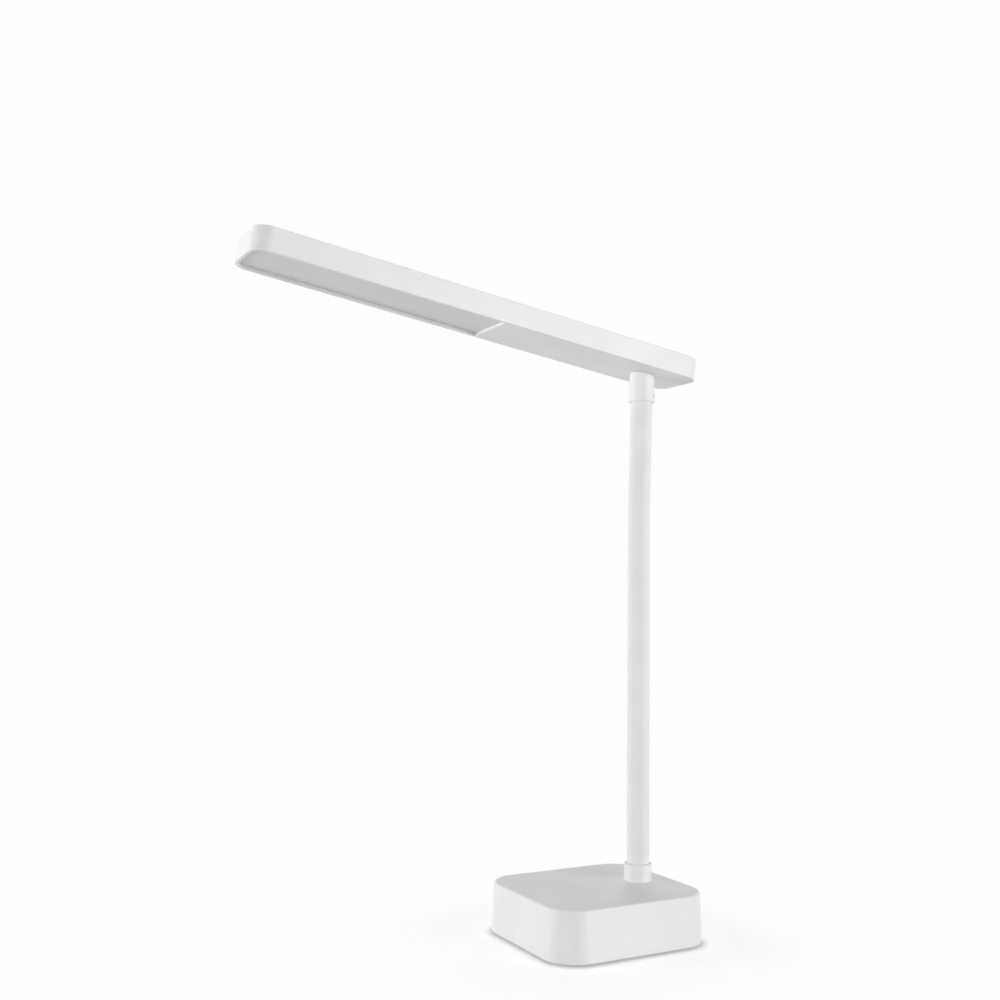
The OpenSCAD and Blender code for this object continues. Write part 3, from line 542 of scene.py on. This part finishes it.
# The screw points half way between right and back, an eighth of the way round the grid's columns,
# and the grid is opened over a window that reaches five columns to either side of it
grub_z, grub_r, grub_column, grub_columns = 3.4 * mm, 1.3 * mm, 12, 5
grub_way = np.array([math.sqrt(0.5), math.sqrt(0.5), 0])
grub_side = np.array([-grub_way[1], grub_way[0], 0])


def stood_at(points, leant, origin):
    """Points of an upright piece leant about X, which turns y to y cos - z sin and z to
    y sin + z cos, then moved to origin."""
    c, s = math.cos(leant), math.sin(leant)
    return np.asarray(points) @ np.array([[1, 0, 0], [0, c, s], [0, -s, c]]) + origin


under_collar = (collar_low_r - 0.6 * mm, 0)
profile = rounded([under_collar, (collar_low_r, 0), (collar_top_r, collar_l),
                   (stub_r, collar_l), (stub_r, stub_top), (lead_hole, stub_top),
                   (lead_hole, ferrule_top), (ferrule_r, ferrule_top), (ferrule_r, seat_h),
                   (neck_r + clear, seat_h), (neck_r + clear, 0), under_collar],
                  np.array([0.35, 0.15, 0.1, 0.3, 0.2, 0.1, 0.1, 0.1, 0.1, 0.15]) * mm)[:-1]
window_z = grub_z + np.linspace(-1.9, 1.9, 9) * mm
window_rows = len(window_z) - 1
profile, outer_row = with_rows(profile, window_z)
profile, inner_row = with_rows(profile, window_z[::-1], pick=-1)
collar = turned(profile)
faces, outside, inside = opened(collar, outer_row, inner_row, window_rows,
                                grub_column - grub_columns, grub_column + grub_columns)
rim = collar.reshape(-1, 3)[outside]
bearing = np.arctan2(rim[:, 2] - grub_z, rim @ grub_side)


def grub_ring(radius, bore=None):
    """A ring round the screw's hole: a circle seen along the screw, laid on the collar's cone,
    or on its bore, at sqrt(R squared - s squared) from the axis for s to the side."""
    s, z = radius * np.cos(bearing), grub_z + radius * np.sin(bearing)
    cone = collar_low_r + (collar_top_r - collar_low_r) * z / collar_l
    out = np.sqrt((cone if bore is None else bore) ** 2 - s ** 2)
    return s[:, None] * grub_side + out[:, None] * grub_way + z[:, None] * [[0, 0, 1]]


collar, faces = tunnel(collar.reshape(-1, 3), faces, outside, inside,
                       [grub_ring(grub_r + 0.2 * mm), grub_ring(grub_r + 0.03 * mm),
                        grub_ring(grub_r), grub_ring(grub_r, ferrule_r)])
# The collar's top slopes square to the stub: z rises by y tan(set), from nothing above the
# ferrule to all of it at the top. The stub is leant whole.
stub_set, pivot = math.radians(-6.5), 15.7 * mm
is_stub = collar[:, 2] > collar_l + 0.06 * mm
share = np.clip((collar[:, 2] - ferrule_top - clear) / (collar_l - ferrule_top - clear), 0, 1)
sloped = collar + np.stack([0 * share, 0 * share, share * collar[:, 1] * math.tan(stub_set)], 1)
leant = stood_at(collar - [[0, 0, pivot]], stub_set, [0, 0, pivot])
collar = np.where(is_stub[:, None], leant, sloped)
surface("swivel_collar", [(stood_at(collar, tilt[-1], mouth), faces)], white_abs,
        "neck_end", ["head_collar"])
# Black oxide on steel: nearly black, dull, a little brighter than plastic
black_steel = moulded("black_oxide_steel", "#1D1D1F", "#2A2A2C", patch=2 * mm,
                      grain=0.3 * mm, depth=0.006 * mm, rough=0.42, Metallic=0.8)
dress(black_steel, "grub_screw")

# ---- Head housing ----
# The long flat back of the light head, one moulding of the white ABS: a shallow tray, open below,
# with a crisp back edge and a thin rim that frames the near plate and the light window.
under, head_tilt = mouth + pivot * upward[-1], tilt[-1] + stub_set
head_l, head_w, head_t, head_r = 255 * mm, 37 * mm, 12 * mm, 8.5 * mm
head_near, window_near, rim_w, rim_in, shelf = 26 * mm, 97 * mm, 1.8 * mm, 1.2 * mm, 3.1 * mm
cavity, back_in = 10.4 * mm, -4.5 * mm
profile = rounded([(back_in, cavity), (-rim_w - rim_in, cavity), (-rim_w - rim_in, shelf),
                   (-rim_w, shelf), (-rim_w, 0), (0, 0), (0, head_t), (back_in, head_t)],
                  np.array([0.3, 0.1, 0.1, 0.1, 0.25, 0.6]) * mm)
tray = carried(profile, plan(head_w, head_l, [head_r] * 4, centre_y=head_near - head_l / 2))
points, faces = shell_of(tray, caps=True)
surface("head_back", [(stood_at(points, head_tilt, under), faces)], white_abs, "head",
        ["head_housing"])

# ---- Near plate ----
# A flat cover of the white ABS, snapped into the head's rim and flush with it. It runs from the
# near end past the swivel to the light window.
dress(white_abs, "head_cover")

# ---- Diffuser ----
# A sheet of opal acrylic, frosted on the side that shows, cut to the window and lying on the
# rim's shelf a little deeper than the near plate.

# Frosted opal acrylic: milky, a shade darker than the ABS, with a tight satin highlight
opal_acrylic = moulded("frosted_opal_acrylic", "#D7D7D7", "#DBDBDB", patch=40 * mm,
                       grain=0.35 * mm, depth=0.004 * mm, rough=0.36, IOR=1.49)
sheet_w, sheet_r, cut_r, sheet_low = 33.2 * mm, 6.6 * mm, 0.4 * mm, 1.5 * mm
sheet_in, sheet_round = -0.35 * mm, 0.1 * mm
sheet_l = head_l - head_near - window_near - rim_w - 2 * clear
profile = rounded([(sheet_in, sheet_low), (0, sheet_low), (0, shelf), (sheet_in, shelf)],
                  [sheet_round] * 2)
sheet = carried(profile, plan(sheet_w, sheet_l, [cut_r, cut_r, sheet_r, sheet_r],
                              centre_y=-window_near - clear - sheet_l / 2))
points, faces = shell_of(sheet, caps=True)
surface("opal_sheet", [(stood_at(points, head_tilt, under), faces)], opal_acrylic,
        "head", ["diffuser"])

# ---- Light tray and diodes ----
# Above the sheet lies a tray of white polycarbonate with a hole for each diode, and over it the
# diodes on their aluminium board.

# Moulded polycarbonate: bright white and glossy, to throw the light down
white_pc = moulded("moulded_white_polycarbonate", "#F0F0F0", "#F4F4F4", patch=20 * mm,
                   grain=0.4 * mm, depth=0.004 * mm, rough=0.3, IOR=1.58)
# White solder mask on aluminium: slightly cream, glossy
white_mask = moulded("white_solder_mask", "#E8E8E3", "#EDEDE8", patch=8 * mm,
                     grain=0.5 * mm, depth=0.006 * mm, rough=0.28, IOR=1.5)
# Phosphor in silicone gel: clear yellow, glossy
phosphor_gel = moulded("phosphor_gel", "#D9BE4E", "#E4CB62", patch=1.5 * mm, grain=0.2 * mm,
                       depth=0.004 * mm, rough=0.3, IOR=1.41)
dress(white_pc, "reflector")
dress(white_mask, "led_board")
dress(phosphor_gel, "leds")

# ---- Studio ----
# A pale floor and a white surround. The floor shows the lamp's soft shadow near it. Its glow is
# also dimmed along the base's foot, which paints a darker contact shadow there over the real one,
# and further out it fades to the surround's white. A strong softbox stands on each side of the
# camera, and three weak ones light the front, the back and the top.
scene = bpy.context.scene
scene.view_settings.view_transform = "Standard"
white_level, fill_level = 0.985, 0.36


def seen_by_eye(owner):
    """1 for a camera, mirror or glass ray, and 0 for the light that falls on the lamp."""
    ray = add_node(owner, "ShaderNodeLightPath").outputs
    seen = add_node(owner, "ShaderNodeMath", {"operation": "MAXIMUM"},
                    _0=ray["Is Camera Ray"], _1=ray["Is Glossy Ray"])
    return add_node(owner, "ShaderNodeMath", {"operation": "MAXIMUM"}, _0=seen.outputs[0],
                    _1=ray["Is Transmission Ray"]).outputs[0]


# Seamless background paper: matt, and white to the eye away from the base, with a painted shadow
# along the base's foot. How far a spot is from the base is the length of what its place, without
# signs, has over the base's half sides, less the corner radius.
paper = bpy.data.materials.new("seamless_paper")
paper.use_nodes = True
paper.node_tree.nodes.clear()
# The lower glow is the level of the painted shadow at the base's foot, and the higher one is the
# level of the open floor.
foot_radius, painted_shadow_glow, open_glow = base_r + flare, 0.30, 0.59
spot = add_node(paper, "ShaderNodeTexCoord").outputs["Object"]
spot = add_node(paper, "ShaderNodeVectorMath", {"operation": "ABSOLUTE"}, _0=spot).outputs[0]
spot = add_node(paper, "ShaderNodeVectorMath", {"operation": "SUBTRACT"}, _0=spot,
                _1=(base_w / 2 - base_r, base_d / 2 - base_r, 0)).outputs[0]
spot = add_node(paper, "ShaderNodeVectorMath", {"operation": "MAXIMUM"}, _0=spot,
                _1=(0, 0, 0)).outputs[0]
away = add_node(paper, "ShaderNodeVectorMath", {"operation": "LENGTH"}, _0=spot).outputs["Value"]
# Painted contact shadow: the floor's glow to the eye drops from the open level to the lower level
# under the base and over the last few millimetres to its foot, so the floor there is darker
# whatever the lamps do.
painted_contact_shadow = add_node(paper, "ShaderNodeMapRange", {"interpolation_type": "SMOOTHSTEP"}, _0=away,
                    _1=foot_radius - 1 * mm, _2=foot_radius + 5 * mm, _3=painted_shadow_glow,
                    _4=open_glow)
fade = add_node(paper, "ShaderNodeMapRange", {"interpolation_type": "SMOOTHSTEP"}, _0=away,
                _1=foot_radius + 6 * mm, _2=foot_radius + 60 * mm, _3=0.0, _4=1.0)
matt = add_node(paper, "ShaderNodeBsdfDiffuse", Color=linear("#F0F0F0"))
shaded = add_node(paper, "ShaderNodeBsdfDiffuse", Color=linear("#CCCCCC"))
glow = add_node(paper, "ShaderNodeEmission", Strength=painted_contact_shadow.outputs[0])
near = add_node(paper, "ShaderNodeAddShader", _0=shaded.outputs[0], _1=glow.outputs[0])
far = add_node(paper, "ShaderNodeEmission", Strength=white_level)
shown = add_node(paper, "ShaderNodeMixShader", _0=fade.outputs[0], _1=near.outputs[0],
                 _2=far.outputs[0])
floor_look = add_node(paper, "ShaderNodeMixShader", _0=seen_by_eye(paper), _1=matt.outputs[0],
                      _2=shown.outputs[0])
add_node(paper, "ShaderNodeOutputMaterial", Surface=floor_look.outputs[0])
far_out = 4.0
mesh = bpy.data.meshes.new("studio_floor")
mesh.from_pydata([(x * far_out, y * far_out, 0) for x, y in ((-1, -1), (1, -1), (1, 1), (-1, 1))],
                 [], [(0, 1, 2, 3)])
mesh.materials.append(paper)
studio_floor = bpy.data.objects.new("studio_floor", mesh)
scene.collection.objects.link(studio_floor)

world = bpy.data.worlds.new("white_surround")
scene.world = world
world.use_nodes = True
world.node_tree.nodes.clear()
level = add_node(world, "ShaderNodeMapRange", _0=seen_by_eye(world), _1=0.0, _2=1.0,
                 _3=fill_level, _4=white_level)
sky = add_node(world, "ShaderNodeBackground", Color=(1, 1, 1, 1), Strength=level.outputs[0])
add_node(world, "ShaderNodeOutputWorld", Surface=sky.outputs[0])


def softbox(name, azimuth, elevation, distance, size, power, aim_height=0.15):
    """A square lamp that faces a point over the base from an azimuth round it, 0 in front and 90
    on its right, an elevation and a distance: it stands at the point + distance x (sin a cos e,
    -cos a cos e, sin e)."""
    light = bpy.data.lights.new(name, "AREA")
    light.shape, light.size, light.energy = "SQUARE", size, power
    made = bpy.data.objects.new(name, light)
    scene.collection.objects.link(made)
    a, e = math.radians(azimuth), math.radians(elevation)
    way = Vector((math.sin(a) * math.cos(e), -math.cos(a) * math.cos(e), math.sin(e)))
    made.location = Vector((0, 0, aim_height)) + distance * way
    made.rotation_euler = way.to_track_quat("Z", "Y").to_euler()
    return made


far_off, low = 1.6, 3
softbox("left_softbox", -22, low, far_off, size=0.6, power=15.7)
softbox("right_softbox", 115, low, far_off, size=0.6, power=14.2)
softbox("front_softbox", 56, low, far_off, size=0.8, power=0.6)
# These two light the back and the head's top. They would glare off the base's flat top, so gloss
# doesn't show them.
for unseen in (softbox("back_softbox", 236, low, far_off, size=0.6, power=8.5),
               softbox("top_softbox", 0, 85, 0.7, size=0.4, power=0.28)):
    unseen.visible_glossy = unseen.visible_camera = False

# The camera stands 0.62 m from the lamp, level with the middle of its stem, and looks up by five
# degrees through a lens as long as 42 mm on a full frame.
stand, turn, aside, up, roll = (0.5192, -0.3443, 0.17525), 0.95, 0.1194, 0.0834, -0.0127
lens = bpy.data.cameras.new("camera")
lens.sensor_width, lens.sensor_fit, lens.lens, lens.clip_start = 36, "HORIZONTAL", 41.8, 0.01
camera = bpy.data.objects.new("camera", lens)
scene.collection.objects.link(camera)
aim = (Matrix.Rotation(turn, 4, "Z") @ Matrix.Rotation(aside, 4, "Z")
       @ Matrix.Rotation(up, 4, "X") @ Matrix.Rotation(roll, 4, "Y"))
camera.matrix_world = (Matrix.Translation(stand) @ aim
                       @ Matrix.Rotation(math.radians(90), 4, "X"))
scene.camera = camera
